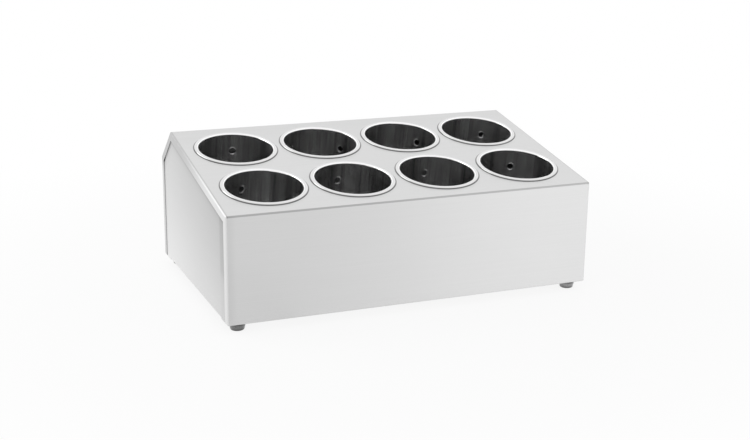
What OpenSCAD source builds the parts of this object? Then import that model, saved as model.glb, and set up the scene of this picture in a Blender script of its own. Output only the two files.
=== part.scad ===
// Countertop holder with eight lift-out perforated cylinders: a bent sheet housing with a sloping
// top, two side panels, four screwed-on feet, and the cylinders that hang in the top by their rims.
// The housing is drawn from its front bottom edge: x across, y to the back and z up, and the whole
// is then lifted onto its feet, with the origin at the middle of the footprint.

/* [Housing] */
// Width over both sides
body_w = 492; // [486:1:620]
// Depth from the front wall to the back wall
body_d = 316; // [306:1:400]
// Height of the front wall
front_h = 136; // [120:1:170]
// Level run of the sloping top, from the front wall to the rear slope
top_run = 263; // [256:1:290]
// Rise of the sloping top over its run
top_rise = 49; // [30:1:64]
// Height of the back wall, up to the rear slope
back_h = 141.5; // [100:0.5:150]

/* [Sheet] */
// Thickness of the housing's sheet
sheet_t = 1; // [0.8:0.1:1.5]
// Outside radius of the housing's bends
bend_r = 2.5; // [2:0.1:4]
// Width of the lips folded in along both sides
lip_w = 10.5; // [8:0.5:16]
// Depth of the bottom flanges at the front and the back
flange_w = 30; // [28:1:44]

/* [Side panels] */
// Thickness of a side panel
panel_t = 1; // [0.8:0.1:1.5]
// Space between a side panel's edge and the bends or flanges beside it
panel_gap = 0.5; // [0.3:0.1:1]
// Width that the wedge at the foot of the rear slope opens to
wedge_w = 2.2; // [0.5:0.1:4]
// Width of the hem along a side panel's bottom
hem_w = 12; // [8:1:20]

/* [Cylinders] */
// Distance between two neighbouring cylinders of a row
column_pitch = 117.3; // [112:0.1:119]
// Distance between the two rows, along the sloping top
row_pitch = 122.4; // [112:0.1:126]
// Inside diameter of a cylinder
cylinder_d = 97; // [80:0.5:99]
// Height of a cylinder over its rim
cylinder_h = 137; // [100:1:140]
// Thickness of a cylinder's wall
wall_t = 0.7; // [0.5:0.1:1]
// Width of the rim, from the cylinder's inside to the rim's outer edge
rim_w = 5.9; // [5:0.1:6.5]
// Outside radius of the rim's two bends
rim_bend_r = 1.8; // [1.4:0.1:2.2]
// Outside radius between a cylinder's wall and its base
base_bend_r = 5; // [3:0.5:9]
// Space all round between a cylinder and its hole in the top
cylinder_clear = 0.8; // [0.5:0.1:1.2]
// Space under a resting cylinder's rim
rim_seat = 0.05; // [0.02:0.01:0.2]

/* [Perforation] */
// Diameter of the holes in a cylinder's wall and base
drain_d = 8; // [5:0.5:9]
// Depth of the upper row of holes below the top sheet
drain_depth = 23; // [18:1:30]
// Distance between two rows of holes
drain_pitch = 25; // [18:1:30]
// Number of rows of holes
drain_rows = 4; // [2:1:4]
// Number of holes in a row
drain_count = 4; // [3:1:6]
// Radius of the ring of holes in the base
base_ring_r = 27; // [20:1:32]
// Number of holes in the base's ring
base_count = 6; // [4:1:8]

/* [Feet] */
// Diameter of a foot at its top
foot_d = 22; // [18:0.5:24]
// Diameter of a foot at the counter
foot_tip_d = 18; // [15:0.5:20]
// Height of a foot
foot_h = 11; // [8:0.5:16]
// Radius of a foot's lower edge
foot_edge_r = 2.5; // [0.5:0.1:2.9]
// Distance of a foot's centre from the housing's side
foot_side = 17; // [15:0.5:26]
// Distance of a foot's centre from the front or back wall
foot_end = 17; // [15:0.5:17]

/* [Fasteners] */
// Diameter of a foot's screw
screw_d = 5; // [4:0.5:5]
// Length of a screw below its head
screw_len = 14; // [12:0.5:18]
// Diameter of a screw's head
screw_head_d = 9; // [8:0.5:9]
// Height of a screw's head
screw_head_h = 3; // [2:0.1:3.4]
// Depth of the pocket in a foot that takes the head
pocket_depth = 4.5; // [4:0.1:5]
// Space all round between a screw's head and its pocket
head_clear = 0.8; // [0.4:0.1:1]
// Space all round between a screw and the holes that it passes
screw_clear = 0.25; // [0.1:0.05:0.4]
// Diameter of a washer
washer_d = 10; // [9:0.5:11]
// Thickness of a washer
washer_t = 1; // [0.8:0.1:1.2]
// Width of a nut across its flats
nut_w = 8; // [8:0.5:9]
// Height of a nut
nut_h = 4; // [3:0.1:4.5]
// Space all round between a nut's bore and its screw
thread_clear = 0.05; // [0.02:0.01:0.1]
// Width of the slots in a screw's head
slot_w = 1.2; // [0.8:0.1:1.6]
// Depth of the slots in a screw's head
slot_depth = 1.4; // [0.8:0.1:1.6]

/* [Hidden] */
$fn = 96;
// How far a cut runs past what it cuts, and how far a bend's round stands out past its walls
eps = 0.1;
edge_break = 0.02;

steel = [0.80, 0.80, 0.80];
bright_steel = [0.88, 0.88, 0.88];
rubber = [0.16, 0.16, 0.17];

// Turn of each cylinder in its hole, which nothing fixes, from left to right
front_turns = [17, 1, -7, -21];
back_turns = [-12, 33, 35, -38];

// The housing's side outline, as [y, z], and the angle and length of its sloping top
outline = [
    [0, 0], [0, front_h], [top_run, front_h + top_rise], [body_d, back_h], [body_d, 0]
];
slope = atan2(top_rise, top_run);
slope_len = norm([top_run, top_rise]);

rim_r = cylinder_d / 2 + rim_w;
hole_r = cylinder_d / 2 + wall_t + cylinder_clear;
pocket_r = screw_head_d / 2 + head_clear;
screw_hole_r = screw_d / 2 + screw_clear;

// Unit vector from corner i to the next corner, and the one square to it that points inwards
function corner(pts, i) = pts[(i + len(pts)) % len(pts)];
function along(pts, i) =
    let (step = corner(pts, i + 1) - corner(pts, i)) step / norm(step);
function inward(pts, i) = let (d = along(pts, i)) [d.y, -d.x];

// The outline's corners after every side has moved inwards by a distance
function inset(pts, distance) = [
    for (i = [0 : len(pts) - 1])
        let (before = inward(pts, i - 1), after = inward(pts, i))
            pts[i] + distance * (before + after) / (1 + before * after)
];
bend_centres = inset(outline, bend_r);

// The point a distance from bend centre i, square to a side of the outline
function off_centre(i, side, distance) = bend_centres[i] - distance * inward(outline, side);

// A quarter of a bent wall about its bend's centre, in the quarter that the two signs give
module quarter_bend(radius, wall, right, up) {
    intersection() {
        difference() {
            circle(radius);
            circle(radius - wall);
        }
        translate([right < 0 ? -radius : 0, up < 0 ? -radius : 0]) square(radius);
    }
}

// Stands a drawing of [y, z] up across the housing, centred on x = 0
module across(width) {
    translate([-width / 2, 0, 0]) rotate([90, 0, 90]) linear_extrude(width) children();
}

// The outline moved inwards by a distance, with its corners rounded about the bend centres
module bent_outline(distance) {
    radius = bend_r - distance;
    beyond = inset(outline, distance - eps);
    difference() {
        polygon(inset(outline, distance));
        for (i = [0 : len(outline) - 1])
            difference() {
                polygon([
                    bend_centres[i], off_centre(i, i - 1, radius + eps),
                    beyond[i], off_centre(i, i, radius + eps)
                ]);
                translate(bend_centres[i]) circle(radius + edge_break);
            }
    }
}

// What the rounding of both ends of wall i takes off, past the wall's own corners
module side_rounding(i, distance) {
    direction = along(outline, i);
    radius = bend_r - distance;
    reach = body_d + front_h;
    translate([0, bend_centres[i].x, bend_centres[i].y])
        rotate([-atan2(direction.x, direction.y), 0, 0])
            translate([0, 0, -reach]) linear_extrude(3 * reach)
                for (side = [-1, 1])
                    translate([side * (body_w / 2 - bend_r), 0]) difference() {
                        translate([side > 0 ? 0 : -radius - eps, -radius - eps])
                            square(radius + eps);
                        circle(radius + edge_break);
                    }
}

// A block of the housing's shape, a distance inside its outer faces, with every edge rounded
module rounded_block(distance) {
    difference() {
        across(body_w - 2 * distance) bent_outline(distance);
        for (i = [0 : len(outline) - 1]) side_rounding(i, distance);
    }
}

// Puts a piece drawn from the housing's front bottom edge on its feet, over the origin
module on_feet() {
    translate([0, -body_d / 2, foot_h]) children();
}

// Places a piece with its z axis square to the sloping top, at a cylinder's centre
module at_cylinder(column, row) {
    x = (column - 2.5) * column_pitch;
    up_slope = slope_len / 2 + (row - 1.5) * row_pitch;
    translate([x, up_slope * cos(slope), front_h + up_slope * sin(slope)])
        rotate([slope, 0, 0]) children();
}

// Places a piece over a foot's centre, at the housing's bottom: side -1 left, end -1 front
module at_foot(side, end) {
    translate([
        side * (body_w / 2 - foot_side), body_d / 2 + end * (body_d / 2 - foot_end), 0
    ]) children();
}

// One sheet bent round the front, top, rear slope and back, with its lips and bottom flanges
module wrap_shell() {
    window = inset(outline, lip_w);
    window_depth = max(bend_r, sheet_t + panel_t + panel_gap);
    color(steel) on_feet() difference() {
        rounded_block(0);
        rounded_block(sheet_t);
        // Open bottom between the front and back flanges
        translate([-body_w / 2 - eps, flange_w, -eps])
            cube([body_w + 2 * eps, body_d - 2 * flange_w, sheet_t + 2 * eps]);
        // Open sides within the lips, past the ends of the flanges
        for (side = [-1, 1])
            translate([side * (body_w / 2 - window_depth / 2 + eps), 0, 0])
                across(window_depth + 2 * eps)
                    polygon([
                        [window[0].x, -eps], window[1], window[2], window[3],
                        [window[4].x, -eps]
                    ]);
        for (column = [1 : 4], row = [1, 2])
            at_cylinder(column, row)
                translate([0, 0, -sheet_t - eps]) cylinder(h = sheet_t + 2 * eps, r = hole_r);
        for (side = [-1, 1], end = [-1, 1])
            at_foot(side, end)
                translate([0, 0, -eps])
                    cylinder(h = sheet_t + 2 * eps, r = screw_hole_r);
    }
}

// A flat panel behind the lips of one side, with a hem along its bottom: side -1 left, 1 right
module side_panel(side) {
    edge = inset(outline, bend_r + panel_gap);
    lip_edge = inset(outline, lip_w);
    foot_of_slope = lip_edge[3] + (wedge_w / lip_w) * (lip_edge[3] - outline[3]);
    low = lip_w + panel_gap;
    hem_from = flange_w + panel_gap;
    outer_x = body_w / 2 - sheet_t;
    color(steel) on_feet() mirror([side < 0 ? 1 : 0, 0, 0]) {
        difference() {
            translate([outer_x - panel_t / 2, 0, 0]) across(panel_t)
                polygon([
                    [low, 0], [low, edge[0].y], edge[0], edge[1], edge[2],
                    foot_of_slope, [edge[3].x, foot_of_slope.y], edge[4],
                    [body_d - low, edge[4].y], [body_d - low, 0]
                ]);
            translate([outer_x - panel_t - eps, hem_from, -eps])
                cube([panel_t + 2 * eps, body_d - 2 * hem_from, bend_r + eps]);
        }
        translate([0, body_d - hem_from, 0]) rotate([90, 0, 0])
            linear_extrude(body_d - 2 * hem_from) hem_section(outer_x);
    }
}

// The fold of a side panel's hem, drawn as [x, z] up to its outer face
module hem_section(outer_x) {
    translate([outer_x - bend_r, bend_r]) quarter_bend(bend_r, panel_t, 1, -1);
    translate([outer_x - panel_t - hem_w, 0]) square([panel_t + hem_w - bend_r, panel_t]);
}

// A lift-out cylinder: rolled rim on the top sheet, perforated wall and perforated base
module lift_out_cylinder(column, row, turn) {
    inner_r = cylinder_d / 2;
    base_z = rim_bend_r - cylinder_h;
    flat_r = inner_r + wall_t - base_bend_r;
    color(bright_steel) on_feet() at_cylinder(column, row)
        translate([0, 0, rim_seat]) rotate(turn) difference() {
            rotate_extrude() {
                translate([0, base_z]) square([flat_r, wall_t]);
                translate([flat_r, base_z + base_bend_r]) quarter_bend(base_bend_r, wall_t, 1, -1);
                translate([inner_r, base_z + base_bend_r])
                    square([wall_t, cylinder_h - rim_bend_r - base_bend_r]);
                translate([inner_r + rim_bend_r, 0]) quarter_bend(rim_bend_r, wall_t, -1, 1);
                translate([inner_r + rim_bend_r, rim_bend_r - wall_t])
                    square([rim_w - 2 * rim_bend_r, wall_t]);
                translate([rim_r - rim_bend_r, 0]) quarter_bend(rim_bend_r, wall_t, 1, 1);
            }
            for (level = [0 : drain_rows - 1], i = [0 : drain_count - 1])
                translate([0, 0, -drain_depth - level * drain_pitch])
                    rotate([0, 90, 90 + (i + (level % 2) / 2) * 360 / drain_count])
                        translate([0, 0, inner_r - wall_t]) cylinder(h = 3 * wall_t, d = drain_d);
            translate([0, 0, base_z - eps]) {
                cylinder(h = wall_t + 2 * eps, d = drain_d);
                for (i = [0 : base_count - 1])
                    rotate(i * 360 / base_count) translate([base_ring_r, 0, 0])
                        cylinder(h = wall_t + 2 * eps, d = drain_d);
            }
        }
}

// A tapered rubber foot with a pocket for its screw's head
module foot(side, end) {
    top_r = foot_d / 2;
    tip_r = foot_tip_d / 2;
    // The round at the lower edge leaves part of the wall flat on the counter
    edge_r = min(foot_edge_r, 0.8 * (tip_r - pocket_r));
    color(rubber) on_feet() at_foot(side, end) translate([0, 0, -foot_h]) difference() {
        union() {
            translate([0, 0, edge_r]) cylinder(h = foot_h - edge_r, r1 = tip_r, r2 = top_r);
            cylinder(h = edge_r, r = tip_r - edge_r);
            rotate_extrude() intersection() {
                translate([tip_r - edge_r, edge_r]) circle(edge_r);
                translate([tip_r - edge_r, 0]) square(edge_r);
            }
        }
        translate([0, 0, -eps]) cylinder(h = foot_h + 2 * eps, r = screw_hole_r);
        translate([0, 0, -eps]) cylinder(h = pocket_depth + eps, r = pocket_r);
    }
}

// A pan-head screw that comes up through a foot and the flange above it
module foot_screw(side, end) {
    color(bright_steel) on_feet() at_foot(side, end) translate([0, 0, pocket_depth - foot_h]) {
        cylinder(h = screw_len, d = screw_d);
        difference() {
            translate([0, 0, -screw_head_h]) cylinder(h = screw_head_h, d = screw_head_d);
            for (turn = [0, 90])
                rotate(turn) translate([0, 0, -screw_head_h + slot_depth / 2 - eps / 2])
                    cube([0.6 * screw_head_d, slot_w, slot_depth + eps], center = true);
        }
    }
}

// The washer on top of the flange
module foot_washer(side, end) {
    color(bright_steel) on_feet() at_foot(side, end) translate([0, 0, sheet_t]) difference() {
        cylinder(h = washer_t, d = washer_d);
        translate([0, 0, -eps]) cylinder(h = washer_t + 2 * eps, r = screw_hole_r);
    }
}

// The nut on top of the washer
module foot_nut(side, end) {
    color(bright_steel) on_feet() at_foot(side, end)
        translate([0, 0, sheet_t + washer_t]) difference() {
            cylinder(h = nut_h, d = nut_w / cos(30), $fn = 6);
            translate([0, 0, -eps]) cylinder(h = nut_h + 2 * eps, r = screw_d / 2 + thread_clear);
        }
}

wrap_shell();
side_panel(-1);  // left_side_panel
side_panel(1);  // right_side_panel
lift_out_cylinder(1, 1, front_turns[0]);  // cylinder_front_1
lift_out_cylinder(2, 1, front_turns[1]);  // cylinder_front_2
lift_out_cylinder(3, 1, front_turns[2]);  // cylinder_front_3
lift_out_cylinder(4, 1, front_turns[3]);  // cylinder_front_4
lift_out_cylinder(1, 2, back_turns[0]);  // cylinder_back_1
lift_out_cylinder(2, 2, back_turns[1]);  // cylinder_back_2
lift_out_cylinder(3, 2, back_turns[2]);  // cylinder_back_3
lift_out_cylinder(4, 2, back_turns[3]);  // cylinder_back_4
foot(-1, -1);  // foot_front_left
foot(1, -1);  // foot_front_right
foot(-1, 1);  // foot_back_left
foot(1, 1);  // foot_back_right
foot_screw(-1, -1);  // foot_screw_front_left
foot_screw(1, -1);  // foot_screw_front_right
foot_screw(-1, 1);  // foot_screw_back_left
foot_screw(1, 1);  // foot_screw_back_right
foot_washer(-1, -1);  // foot_washer_front_left
foot_washer(1, -1);  // foot_washer_front_right
foot_washer(-1, 1);  // foot_washer_back_left
foot_washer(1, 1);  // foot_washer_back_right
foot_nut(-1, -1);  // foot_nut_front_left
foot_nut(1, -1);  // foot_nut_front_right
foot_nut(-1, 1);  // foot_nut_back_left
foot_nut(1, 1);  // foot_nut_back_right
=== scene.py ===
"""Countertop holder with eight lift-out perforated cylinders: finishes, feet, light and camera."""

import math

import bmesh
import bpy
from mathutils import Matrix, Vector


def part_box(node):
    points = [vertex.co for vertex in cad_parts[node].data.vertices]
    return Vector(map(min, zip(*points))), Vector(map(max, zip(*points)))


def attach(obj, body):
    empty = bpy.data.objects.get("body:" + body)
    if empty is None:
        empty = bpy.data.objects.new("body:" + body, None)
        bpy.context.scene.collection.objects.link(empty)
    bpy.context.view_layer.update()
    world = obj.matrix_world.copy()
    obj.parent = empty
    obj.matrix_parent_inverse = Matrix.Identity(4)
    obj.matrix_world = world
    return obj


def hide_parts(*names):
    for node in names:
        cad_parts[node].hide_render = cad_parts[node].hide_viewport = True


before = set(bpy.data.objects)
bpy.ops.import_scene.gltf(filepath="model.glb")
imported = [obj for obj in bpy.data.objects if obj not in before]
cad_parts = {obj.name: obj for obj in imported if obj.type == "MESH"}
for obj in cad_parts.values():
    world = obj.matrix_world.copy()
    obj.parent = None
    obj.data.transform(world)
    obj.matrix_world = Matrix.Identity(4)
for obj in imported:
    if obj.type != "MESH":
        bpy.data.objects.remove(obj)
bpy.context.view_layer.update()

MM = 0.001
HOUSING = "housing"
ROWS = ("front", "back")
SIDES = ("left", "right")
FEET = [f"{end}_{side}" for end in ROWS for side in SIDES]

# The housing's sizes, in millimetres: front wall, sloping top, back wall, folded lips and sheet
FRONT_H = 136.0
TOP_RUN = 263.0
TOP_RISE = 49.0
BACK_H = 141.5
LIP_W = 10.5
SHEET_T = 1.0
SLOPE = math.atan2(TOP_RISE, TOP_RUN)

# The cylinders' places and sizes, in millimetres
COLUMN_PITCH = 117.3
ROW_PITCH = 122.4
INNER_R = 48.5
RIM_W = 5.9
RIM_R = INNER_R + RIM_W

# The holes in a cylinder's wall: their size, the depth of the first row below the rim and the
# pitch of the rows, in millimetres, and how many there are down the wall and round it
HOLE_R = 4.0
HOLE_DEPTH = 23.0
HOLE_PITCH = 25.0
HOLE_ROWS = 4
HOLES_ROUND = 4

# How each cylinder is turned in its hole, in degrees, counted from the left
TURNS = {"front": (17, 1, -7, -21), "back": (-12, 33, 35, -38)}

# The feet, in millimetres: taper, upper and lower edges, and the bore and pocket for the screw
FOOT_TAPER = 2.0
FOOT_TOP_EDGE = 0.5
FOOT_EDGE_R = 2.5
FOOT_EDGE_STEPS = 6
FOOT_BORE_R = 2.75
FOOT_POCKET_R = 5.3
FOOT_POCKET_H = 4.5
FOOT_POCKET_EDGE = 0.4

# Edges of the made pieces that turn by more than this many degrees stay crisp
CRISP_ANGLE = 40

# The greys of the finishes, as linear colours, before their lines and shading
SHEET_GREY = 0.64
# The lips' grey, lighter than the sheet's, is a painted highlight
LIP_GREY = 0.76
PANEL_GREY = 0.565
RIM_GREY = 0.72
WALL_GREY = 0.66
FASTENER_GREY = 0.55
RUBBER_GREY = 0.05

# How rough the finishes are, from 0 for a mirror to 1
SHEET_ROUGH = 0.34
PANEL_ROUGH = 0.36
CYLINDER_ROUGH = 0.24
FASTENER_ROUGH = 0.30
RUBBER_ROUGH = 0.30

# How much of the grey is left on the faces inside the housing, under painted shade
INSIDE_GREY_UNDER_SHADE = 0.35

# The brushing, in millimetres: how long the fine and the wide lines are, and how wide
FINE_LENGTH = 140
WIDE_LENGTH = 300
FINE_WIDTH = 0.38
WIDE_WIDTH = 3.4

# The camera, matched to the photograph: its place from the middle of the housing's bottom, in
# metres, its angles in degrees, and its lens and film in millimetres
CAMERA_PLACE = (-0.6299, -1.5249, 0.5290)
CAMERA_AZIMUTH = -22.72
CAMERA_ELEVATION = 15.645
CAMERA_ROLL = 0.706
CAMERA_LENS = 60.51
CAMERA_FILM = 36.0

# The studio's light, and how white the floor shows beside the object. The floor turns fully white
# over the first pair of distances from the middle, and dark under the housing over the second
# pair, in from the housing's edges, in millimetres.
WORLD_LIGHT = 0.75
FLOOR_WHITE = 0.88
SHADE_REACH = (380, 900)
COVERED_FROM = (45, 75)

# Half the floor's width, in metres, its paint, and white light
FLOOR_HALF = 6.0
FLOOR_PAINT = (0.9, 0.9, 0.9, 1)
WHITE = (1, 1, 1, 1)

sheet_low, sheet_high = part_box("wrap_shell")


# ---------------------------------------------------------------- shader maths


class Value:
    """A node's output. Arithmetic on it adds Math nodes to its finish."""

    def __init__(self, finish, socket):
        self.finish = finish
        self.socket = socket

    def math(self, operation, *others):
        return self.finish.node("ShaderNodeMath", {"operation": operation}, self, *others)

    def __add__(self, other):
        return self.math("ADD", other)

    def __sub__(self, other):
        return self.math("SUBTRACT", other)

    def __rsub__(self, other):
        return self.finish.node("ShaderNodeMath", {"operation": "SUBTRACT"}, other, self)

    def __mul__(self, other):
        return self.math("MULTIPLY", other)

    def __truediv__(self, other):
        return self.math("DIVIDE", other)

    def __abs__(self):
        return self.math("ABSOLUTE")

    __radd__ = __add__
    __rmul__ = __mul__

    def least(self, other):
        """The smaller of the two."""
        return self.math("MINIMUM", other)

    def modulo(self, pitch):
        """What is left past the last whole pitch."""
        return self.math("FLOORED_MODULO", pitch)

    def hypot(self, other):
        """The long side of the right-angled triangle whose other sides are these two."""
        return (self * self + other * other).math("SQRT")

    def step(self, low, high, start=0.0, end=1.0):
        """Goes smoothly from start to end as this value goes from low to high."""
        return self.finish.node(
            "ShaderNodeMapRange", {"interpolation_type": "SMOOTHSTEP"}, self, low, high, start, end
        )

    def before(self, low, high, start=1.0):
        """The start value up to low, which falls smoothly to 0 at high."""
        return self.step(low, high, start, 0.0)

    def band(self, rise, fall, soft):
        """1 between rise and fall, 0 outside, with soft ends."""
        return self.step(rise - soft, rise + soft) - self.step(fall - soft, fall + soft)


class Finish:
    """One procedural material, or the world, built node by node."""

    def __init__(self, name, tree=None):
        if tree is None:
            self.material = bpy.data.materials.new(name)
            self.material.use_nodes = True
            tree = self.material.node_tree
        self.tree = tree
        tree.nodes.clear()

    def node(self, kind, settings, *values, out=0, **named):
        """Adds a node: its settings first, then its sockets by order or by name."""
        made = self.tree.nodes.new(kind)
        for key, setting in settings.items():
            setattr(made, key, setting)
        sockets = [(made.inputs[i], v) for i, v in enumerate(values)]
        sockets += [(made.inputs[key.replace("_", " ")], v) for key, v in named.items()]
        for socket, value in sockets:
            if isinstance(value, Value):
                self.tree.links.new(value.socket, socket)
            else:
                socket.default_value = value
        return Value(self, made.outputs[out]) if made.outputs else made

    def place(self):
        """The point's place on the object, in metres."""
        return self.node("ShaderNodeTexCoord", {}, out="Object")

    def millimetres(self, vector):
        """A vector's x, y and z, from metres to millimetres."""
        scaled = self.node("ShaderNodeVectorMath", {"operation": "SCALE"}, vector, Scale=1 / MM)
        return [self.node("ShaderNodeSeparateXYZ", {}, scaled, out=axis) for axis in "XYZ"]

    def vector(self, x, y, z):
        """A vector of three values."""
        return self.node("ShaderNodeCombineXYZ", {}, x, y, z)

    def noise(self, vector, scale=1.0, detail=2.0, roughness=0.5):
        """Cloudy noise, from -0.5 to 0.5 about its middle."""
        made = self.node(
            "ShaderNodeTexNoise", {}, Vector=vector, Scale=scale, Detail=detail, Roughness=roughness
        )
        return made - 0.5

    def lines(self, parts, cell, detail=2.0):
        """Noise whose cells are so many millimetres long along each axis."""
        return self.noise(self.vector(*(p / size for p, size in zip(parts, cell))), 1.0, detail)

    def bump(self, height, distance, strength=0.25):
        """A normal that follows a height, whose distance is in millimetres."""
        return self.node(
            "ShaderNodeBump", {}, Strength=strength, Distance=distance * MM, Height=height
        )

    def grey(self, value):
        """A colour with the same red, green and blue."""
        return self.node("ShaderNodeCombineColor", {}, value, value, value)

    def finish_with(self, tone, **sockets):
        """Ends the finish with a Principled shader of a grey tone."""
        shader = self.node("ShaderNodeBsdfPrincipled", {}, Base_Color=self.grey(tone), **sockets)
        self.node("ShaderNodeOutputMaterial", {}, shader)
        return self.material

    def seen_white(self):
        """1 for the camera, and for what mirrors and clear things show."""
        rays = [
            self.node("ShaderNodeLightPath", {}, out=f"Is {kind} Ray")
            for kind in ("Camera", "Glossy", "Transmission")
        ]
        return (rays[0] + rays[1] + rays[2]).least(1.0)


class Zones:
    """Distances in from the housing's faces, in millimetres, for a point of a finish."""

    def __init__(self, x, y, z):
        self.front = y - sheet_low.y / MM
        self.back = sheet_high.y / MM - y
        self.side = sheet_high.x / MM - abs(x)
        self.up = z - sheet_low.z / MM
        self.top = (FRONT_H - self.up) * math.cos(SLOPE) + self.front * math.sin(SLOPE)
        depth = (sheet_high.y - sheet_low.y) / MM
        fall = math.atan2(FRONT_H + TOP_RISE - BACK_H, depth - TOP_RUN)
        self.rear_slope = self.back * math.sin(fall) + (BACK_H - self.up) * math.cos(fall)

    def inside(self):
        """1 on the faces inside the housing, where shade is painted on the sheet."""
        depth = self.front.least(self.back).least(self.side)
        depth = depth.least(self.up).least(self.top).least(self.rear_slope)
        return depth.step(0.6 * SHEET_T, 0.9 * SHEET_T)

    def from_rims(self, x):
        """Distance across the sloping top from the nearest cylinder's axis."""
        along = (self.front - TOP_RUN / 2) * math.cos(SLOPE)
        along = along + (self.up - FRONT_H - TOP_RISE / 2) * math.sin(SLOPE)
        beside = x.modulo(COLUMN_PITCH) - COLUMN_PITCH / 2
        return beside.hypot(abs(along) - ROW_PITCH / 2)


# ---------------------------------------------------------------- finishes


def brushed_sheet():
    """The bent housing sheet: fine lines along its width, lips with a painted highlight, and lines
    of painted shade along its edges.
    """
    steel = Finish("brushed_sheet")
    x, y, z = steel.millimetres(steel.place())
    zones = Zones(x, y, z)
    fine = steel.lines((x, y, z), (FINE_LENGTH, FINE_WIDTH, FINE_WIDTH), 3.0)
    wide = steel.lines((x, y, z), (WIDE_LENGTH, WIDE_WIDTH, WIDE_WIDTH))
    cloud = steel.lines((x, y, z), (160, 120, 120))
    lip = zones.side.before(0.4, 2.2)
    face = 1 - lip
    on_front = zones.front.before(0.2, 1.4) * face
    on_top = zones.top.before(0.2, 1.4) * face

    # Painted highlight: the lips are lighter than the faces, and darken towards the back, less so
    # along the back wall
    towards_back = zones.front.step(60, 220)
    along_back_wall = zones.up.before(BACK_H - 23.5, BACK_H + 0.5) * towards_back
    lip_tone = LIP_GREY - towards_back * 0.27 + along_back_wall * 0.15

    # Painted shade: fine dark lines follow the bend at the front and the bends at the sides, a
    # painted shadow rings each rim, and the front's left end is a little darker. The rims' pattern
    # repeats past the outer columns, so it stops short of the sides.
    front_bend = zones.top.band(0.2, 2.1, 0.15) * zones.front.before(2.0, 3.0)
    side_bend = zones.side.band(0.6, 2.8, 0.5) * zones.top.before(1.0, 4.0)
    around_rim = zones.from_rims(x).band(RIM_R - 0.1, RIM_R + 1.0, 0.4)
    around_rim = around_rim * zones.side.step(9.2, 10.0)
    left_end = zones.side.before(3, 14) * x.before(-200, -150)
    shade = 1 - face * front_bend * 0.40 - on_front * left_end * 0.07
    shade = shade * (1 - side_bend * 0.22) * (1 - on_top * around_rim * 0.70)

    # Painted light and shade: the front gets lighter to the right, and the top a little darker at
    # the back
    grey_with_painted_light = SHEET_GREY + on_front * x.step(-180, 200, 0.043, 0.165)
    grey_with_painted_light = grey_with_painted_light - on_top * zones.front.step(TOP_RUN - 73, TOP_RUN - 1) * 0.022
    lines = fine * (0.05 + on_top * 0.07) + wide * 0.02 + cloud * 0.03
    tone = (grey_with_painted_light + lines) * shade * face + (lip_tone + fine * 0.03) * lip
    # Painted shade darkens the faces inside the housing
    tone = tone * (1 - zones.inside() * (1 - INSIDE_GREY_UNDER_SHADE))
    rough = SHEET_ROUGH + wide * face * 0.10 - lip * 0.06
    normal = steel.bump((fine + wide * 0.5) * face, 0.06)
    return steel.finish_with(tone, Metallic=1.0, Roughness=rough, Normal=normal)


def brushed_panel():
    """The flat side panels: fine lines along their depth, and painted shade beside the lips."""
    steel = Finish("brushed_panel")
    x, y, z = steel.millimetres(steel.place())
    zones = Zones(x, y, z)
    fine = steel.lines((x, y, z), (FINE_WIDTH, FINE_LENGTH, FINE_WIDTH), 3.0)
    wide = steel.lines((x, y, z), (WIDE_WIDTH, WIDE_LENGTH, WIDE_WIDTH))
    cloud = steel.lines((x, y, z), (120, 140, 140))

    # Painted reflection and shade: the panel is darker in bands beside the lips that it mirrors,
    # less so low down at the front
    past_front_lip = zones.front - LIP_W
    past_upper_lips = zones.top.least(zones.rear_slope) - LIP_W
    front_shade = past_front_lip.before(0, 11, 0.14) + past_front_lip.before(15, 24, 0.17)
    front_shade = front_shade * (1 - zones.top.step(72, 92) * 0.72)
    upper_shade = past_upper_lips.before(2, 6.5, 0.20) + past_upper_lips.before(5, 16, 0.05)

    # Painted light: it gets lighter downwards and towards the back, and painted shade darkens its
    # inside face
    grey_with_painted_light = PANEL_GREY + zones.top * 0.0013 + (zones.front - 208) * 0.00033
    inside_shade = zones.side.step(1.4 * SHEET_T, 1.7 * SHEET_T, 1.0, INSIDE_GREY_UNDER_SHADE)
    tone = grey_with_painted_light + fine * 0.05 + wide * 0.02 + cloud * 0.03
    tone = tone * (1 - front_shade) * (1 - upper_shade) * inside_shade
    rough = PANEL_ROUGH + wide * 0.12
    normal = steel.bump(fine + wide * 0.5, 0.06)
    return steel.finish_with(tone, Metallic=1.0, Roughness=rough, Normal=normal)


def rim_place(column, row):
    """Middle of a cylinder's hole, on the outer face of the sloping top."""
    up = math.hypot(TOP_RUN, TOP_RISE) / 2 + (row - 0.5) * ROW_PITCH
    return Vector((
        (column - 1.5) * COLUMN_PITCH * MM,
        sheet_low.y + up * math.cos(SLOPE) * MM,
        sheet_low.z + (FRONT_H + up * math.sin(SLOPE)) * MM,
    ))


def dished_edges(x, y, z, turn):
    """1 at the edges of a wall's holes, of which every other row is turned by half a spacing."""
    depth = 0 - z - HOLE_DEPTH
    row = (depth / HOLE_PITCH).math("ROUND")
    below = depth - row * HOLE_PITCH
    spacing = 360 / HOLES_ROUND
    turned = y.math("ARCTAN2", x) * math.degrees(1) - turn
    turned = turned - row.modulo(2.0) * (spacing / 2) + spacing / 2
    beside = (turned.modulo(spacing) - spacing / 2) * math.radians(INNER_R)
    has_holes = z.band(-HOLE_DEPTH - (HOLE_ROWS - 0.6) * HOLE_PITCH, -HOLE_DEPTH / 2, 1.0)
    return below.hypot(beside).before(HOLE_R - 0.4, HOLE_R + 2.2) * has_holes


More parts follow.
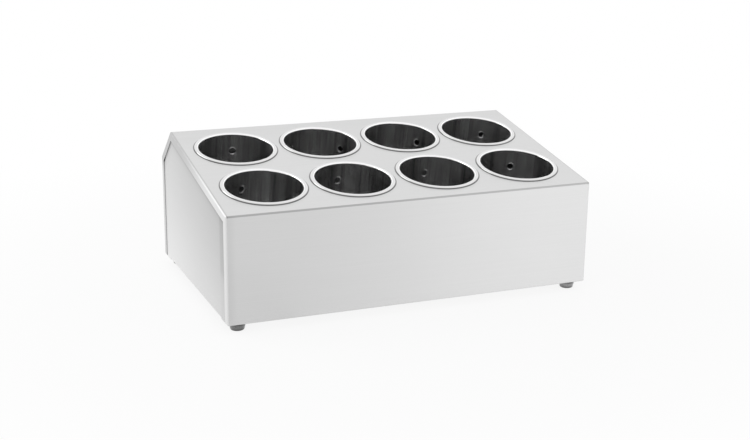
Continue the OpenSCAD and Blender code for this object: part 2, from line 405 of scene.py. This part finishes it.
def drawn_cylinder(name, column, row):
    """A drawn cylinder: its rim with a painted highlight and painted shadow, lines along its depth,
    and a dished edge round each hole.
    """
    steel = Finish(name + "_steel")
    level = steel.node(
        "ShaderNodeMapping", {"vector_type": "TEXTURE"}, steel.place(), rim_place(column, row),
        (SLOPE, 0.0, 0.0),
    )
    x, y, z = steel.millimetres(level)
    radius = x.hypot(y)
    round_x = x / radius
    round_y = y / radius
    own_stretch = z + (40 * column + 190 * row)

    def streaks(count, length, detail):
        """Noise down the wall: so many millimetres long, and finer round it with the count."""
        return steel.noise(
            steel.vector(round_x * count, round_y * count, own_stretch / length), 1.0, detail
        )

    fine = streaks(26, 90, 3.0)
    wide = streaks(4.5, 150, 1.0)
    rings = steel.noise(steel.vector(round_x, round_y, z * 1.4), 1.0, 2.0)

    rim = z.step(-2.6, -0.6)
    # Painted highlight on the bead at the rim's inner edge, and painted shadow under its outer edge
    bead_highlight = radius.before(INNER_R + 1.0, INNER_R + 2.2)
    shadow_under_rim = radius.step(RIM_R - 1.5, RIM_R - 0.4) * z.before(0.3, 1.6)
    rim_tone = RIM_GREY + bead_highlight * 0.20 - shadow_under_rim * 0.54

    dish = dished_edges(x, y, z, TURNS[ROWS[row]][column])
    outside = radius.step(INNER_R + 0.3, INNER_R + 0.4)
    # The streaks down the wall are drawing lines and painted reflections, and the wall's outer
    # face, inside the housing, gets painted shade
    wall_tone = WALL_GREY + fine * 0.45 + wide * 0.8 + dish * 0.10
    wall_tone = wall_tone * (1 - outside * 0.15)

    tone = (wall_tone * (1 - rim) + rim_tone * rim).math("MAXIMUM", 0.05)
    rough = CYLINDER_ROUGH + fine * 0.10 - rim * 0.08
    height = (fine * 0.12 + rings * 0.04) * (1 - rim) + dish * (outside * 2 - 1)
    normal = steel.bump(height, 0.8, 0.6)
    return steel.finish_with(tone, Metallic=1.0, Roughness=rough, Normal=normal)


def fastener_steel():
    """Plain bright steel of the screws, washers and nuts."""
    steel = Finish("fastener_steel")
    grain = steel.noise(steel.place(), 900.0, 3.0)
    rough = FASTENER_ROUGH + grain * 0.2
    normal = steel.bump(grain, 0.05)
    return steel.finish_with(
        FASTENER_GREY + grain * 0.12, Metallic=1.0, Roughness=rough, Normal=normal
    )


def moulded_rubber():
    """Dark, half glossy rubber of the feet: scuffed near the counter, with a painted highlight in a
    band half way up.
    """
    rubber = Finish("moulded_rubber")
    place = rubber.place()
    x, y, height = rubber.millimetres(place)
    grain = rubber.noise(place, 1600.0, 3.0)
    scuffs = (rubber.noise(place, 260.0, 4.0, 0.7) + 0.5) * height.before(0.0, 3.0)
    # Painted highlight: a lighter band half way up, stronger on the feet to the right where the
    # light falls
    painted_sheen_band = height.band(2.6, 7.6, 1.2) * x.step(-150, 200, 0.11, 0.32)
    rough = RUBBER_ROUGH + grain * 0.12 + scuffs * 0.2
    return rubber.finish_with(
        RUBBER_GREY + painted_sheen_band + grain * 0.05 + scuffs * 0.03, Roughness=rough, Coat_Weight=1.0,
        Coat_Roughness=0.28, Normal=rubber.bump(grain, 0.05),
    )


# ---------------------------------------------------------------- pieces


def linked(name, data):
    """A new object, in the scene."""
    made = bpy.data.objects.new(name, data)
    bpy.context.scene.collection.objects.link(made)
    return made


def meshed(bm, name, finish):
    """A mesh with one finish, from a bmesh that isn't needed any more."""
    mesh = bpy.data.meshes.new(name)
    bm.to_mesh(mesh)
    bm.free()
    mesh.materials.append(finish)
    return mesh


def lathe(profile, centre, steps=72):
    """A closed section of (radius, height) points, in millimetres, turned about a vertical axis."""
    bm = bmesh.new()
    verts = [bm.verts.new((r * MM, 0, h * MM)) for r, h in profile]
    edges = [bm.edges.new((a, b)) for a, b in zip(verts, verts[1:] + verts[:1])]
    bmesh.ops.spin(
        bm, geom=verts + edges, cent=(0, 0, 0), axis=(0, 0, 1), angle=2 * math.pi, steps=steps,
        use_merge=True,
    )
    bmesh.ops.translate(bm, verts=bm.verts, vec=centre)
    return bm


def finished(bm, name, finish, nodes):
    """Turns a bmesh into a piece of the housing that stands for the named CAD nodes."""
    bmesh.ops.remove_doubles(bm, verts=bm.verts, dist=1e-6)
    bmesh.ops.recalc_face_normals(bm, faces=bm.faces)
    mesh = meshed(bm, name, finish)
    mesh.shade_smooth()
    mesh.set_sharp_from_angle(angle=math.radians(CRISP_ANGLE))
    piece = linked(name, mesh)
    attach(piece, HOUSING)
    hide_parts(*nodes)


def make_foot(where, finish):
    """A foot: tapered, with rounded edges and the pocket for its screw."""
    low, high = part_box(f"foot_{where}")
    centre = Vector(((low.x + high.x) / 2, (low.y + high.y) / 2, low.z))
    top_r = (high.x - low.x) / 2 / MM
    height = (high.z - low.z) / MM
    tip_r = top_r - FOOT_TAPER
    quarter = [math.radians(90 * i / FOOT_EDGE_STEPS) for i in range(FOOT_EDGE_STEPS + 1)]
    lower_edge = [
        (tip_r + FOOT_EDGE_R * (math.cos(t) - 1), FOOT_EDGE_R * (1 - math.sin(t)))
        for t in quarter
    ]
    upper_edge = [
        (top_r - FOOT_TOP_EDGE, height), (top_r - 0.1, height - 0.15),
        (top_r, height - FOOT_TOP_EDGE), (top_r - 0.15, height - 1.6),
    ]
    pocket = [
        (FOOT_POCKET_R + FOOT_POCKET_EDGE, 0), (FOOT_POCKET_R, FOOT_POCKET_EDGE),
        (FOOT_POCKET_R, FOOT_POCKET_H), (FOOT_BORE_R, FOOT_POCKET_H),
    ]
    profile = [(FOOT_BORE_R, height), *upper_edge, *lower_edge, *pocket]
    finished(
        lathe(profile, centre), f"rubber_foot_{where}", finish, [f"foot_{where}"]
    )


# ---------------------------------------------------------------- camera, light and floor


def make_camera():
    """The photograph's camera, placed from the housing's bottom, whatever the feet's height."""
    camera = linked("camera", bpy.data.cameras.new("camera"))
    camera.data.lens = CAMERA_LENS
    camera.data.sensor_width = CAMERA_FILM
    turn = (
        Matrix.Rotation(math.radians(CAMERA_AZIMUTH), 4, "Z")
        @ Matrix.Rotation(math.radians(90 - CAMERA_ELEVATION), 4, "X")
        @ Matrix.Rotation(math.radians(CAMERA_ROLL), 4, "Z")
    )
    place = Vector(CAMERA_PLACE) + Vector((0, 0, sheet_low.z))
    camera.matrix_world = Matrix.Translation(place) @ turn
    bpy.context.scene.camera = camera


def make_floor():
    """A pale floor: dark under the housing, softly shaded beside it and white further out."""
    floor = Finish("floor")
    x, y, z = floor.millimetres(floor.place())
    within = (sheet_high.x / MM - abs(x)).least(sheet_high.y / MM - abs(y))
    white = x.hypot(y).step(*SHADE_REACH, FLOOR_WHITE, 1.0) * within.before(*COVERED_FROM)
    matt = floor.node("ShaderNodeBsdfDiffuse", {}, FLOOR_PAINT)
    glow = floor.node("ShaderNodeEmission", {}, WHITE, 1.0)
    mixed = floor.node("ShaderNodeMixShader", {}, floor.seen_white() * white, matt, glow)
    floor.node("ShaderNodeOutputMaterial", {}, mixed)
    bm = bmesh.new()
    bmesh.ops.create_grid(bm, x_segments=1, y_segments=1, size=FLOOR_HALF)
    stage = linked("floor", meshed(bm, "floor", floor.material))


def make_world():
    """Even light from all round, which the camera and mirrors see as white."""
    world = bpy.data.worlds.new("studio")
    world.use_nodes = True
    bpy.context.scene.world = world
    sky = Finish("studio", world.node_tree)
    strength = WORLD_LIGHT + sky.seen_white() * (1.0 - WORLD_LIGHT)
    light = sky.node("ShaderNodeBackground", {}, WHITE, strength)
    sky.node("ShaderNodeOutputWorld", {}, light)


def make_lamp(name, place, target, size, power):
    """A large soft lamp, with its place, target and size in metres and its power in watts."""
    lamp = linked(name, bpy.data.lights.new(name, "AREA"))
    lamp.data.shape = "RECTANGLE"
    lamp.data.size, lamp.data.size_y = size
    lamp.data.energy = power
    lamp.location = place
    lamp.rotation_mode = "QUATERNION"
    lamp.rotation_quaternion = (Vector(target) - Vector(place)).to_track_quat("-Z", "Y")


bpy.context.scene.view_settings.view_transform = "Standard"
make_camera()
make_world()
make_floor()
make_lamp("key_right", (2.1, -1.9, 1.0), (0.1, 0, 0.1), (3.6, 1.8), power=2.5)
make_lamp("fill_left", (-1.8, 1.0, 1.1), (-0.1, 0, 0.1), (1.6, 1.4), power=10)
make_lamp("overhead", (0.3, 1.2, 2.1), (0, 0, 0.1), (4.6, 4.2), power=5.5)

sheet = brushed_sheet()
panel = brushed_panel()
fastener = fastener_steel()
rubber = moulded_rubber()
finishes = {"wrap_shell": sheet, "left_side_panel": panel, "right_side_panel": panel}
for row, row_name in enumerate(ROWS):
    for column in range(len(TURNS[row_name])):
        name = f"cylinder_{row_name}_{column + 1}"
        finishes[name] = drawn_cylinder(name, column, row)
for where in FEET:
    make_foot(where, rubber)
    for piece in ("foot_screw", "foot_washer", "foot_nut"):
        finishes[f"{piece}_{where}"] = fastener
for node, finish in finishes.items():
    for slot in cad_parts[node].material_slots:
        slot.material = finish
